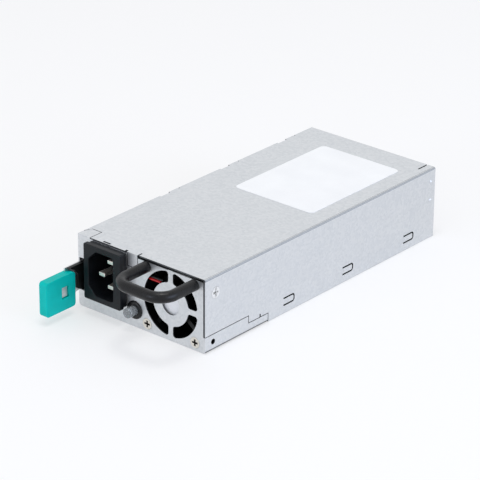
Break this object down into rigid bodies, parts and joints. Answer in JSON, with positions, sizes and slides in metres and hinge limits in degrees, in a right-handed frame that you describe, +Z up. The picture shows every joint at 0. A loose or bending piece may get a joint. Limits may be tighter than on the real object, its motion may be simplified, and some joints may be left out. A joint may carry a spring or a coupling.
{
  "type": "hot swap server power supply",
  "caption": "Slim hot swap power supply module with a sheet steel case, AC inlet, grilled fan, bar handle, sprung release latch and rear edge connector.",
  "frame": {"origin": "middle of the case's underside", "axes": "+Y from the front panel to the rear edge connector, +X to the right seen from the front, +Z up"},
  "size_m": [0.0881, 0.2269, 0.0406],
  "materials": {
    "zinc_steel": "bare zinc-coated sheet, satin",
    "spring_steel": "bright spring steel, satin",
    "rivet_steel": "plated, satin",
    "screw_steel": "zinc plated, satin",
    "black_plastic": "moulded, matt",
    "teal_plastic": "moulded, matt",
    "handle_metal": "black coated bar, satin",
    "contact_metal": "nickel plated",
    "bush_plastic": "moulded, matt",
    "clear_plastic": "clear moulding, gloss",
    "paper_label": "white sticker, matt",
    "red_insulation": "wire insulation",
    "black_insulation": "wire insulation",
    "circuit_board": "green solder mask",
    "gold_contact": "gold plated",
    "clear_film": "insulating film",
    "white_nylon": "moulded, matt",
    "ferrite": "pressed and fired, matt",
    "copper_wire": "enamelled copper wire",
    "sink_aluminium": "extruded, satin",
    "capacitor_sleeve": "shrunk sleeve",
    "film_capacitor_case": "moulded box",
    "glass_fuse": "glass with metal caps",
    "package_plastic": "moulded epoxy"
  },
  "bodies": {
    "case": {"ac_inlet": "black_plastic", "board_pillars": "rivet_steel", "board_screws": "screw_steel", "boost_choke_core": "ferrite", "boost_choke_windings": "copper_wire", "bridge_rectifier": "package_plastic", "bulk_capacitor": "capacitor_sleeve", "chassis": "zinc_steel", "control_card": "circuit_board", "control_chips": "package_plastic", "cover": "zinc_steel", "cover_screw": "screw_steel", "edge_contacts": "gold_contact", "fan_frame": "black_plastic", "fan_header": "white_nylon", "fan_label": "paper_label", "fan_lead_black": "black_insulation", "fan_lead_red": "red_insulation", "fan_plug": "white_nylon", "fan_screws": "screw_steel", "film_capacitor": "film_capacitor_case", "filter_choke_core": "ferrite", "filter_choke_windings": "copper_wire", "handle": "handle_metal", "handle_screws": "screw_steel", "inlet_blades": "contact_metal", "insulating_film": "clear_film", "latch_foot": "spring_steel", "latch_rivets": "rivet_steel", "light_bush": "bush_plastic", "light_pipe": "clear_plastic", "main_board": "circuit_board", "mains_fuse": "glass_fuse", "output_capacitors": "capacitor_sleeve", "output_heat_sink": "sink_aluminium", "power_transistors": "package_plastic", "primary_heat_sink": "sink_aluminium", "rating_label": "paper_label", "rear_panel": "zinc_steel", "status_lamp": "clear_plastic", "transformer_coil": "copper_wire", "transformer_core": "ferrite"},
    "latch": {"latch_leaf": "spring_steel", "latch_arm": "black_plastic", "latch_grip": "teal_plastic"},
    "fan": {"fan_rotor": "black_plastic"}
  },
  "joints": [
    {"name": "latch_press", "type": "hinge", "parent": "case", "child": "latch", "pos_m": [-0.0417, -0.0505, 0.0177], "axis": [0, 0, 1], "range_deg": [0, 2.5], "stiffness_Nm_per_rad": 12},
    {"name": "fan_spin", "type": "hinge", "parent": "case", "child": "fan", "pos_m": [0.0202, -0.0795, 0.02025], "axis": [0, 1, 0], "continuous": true}
  ]
}
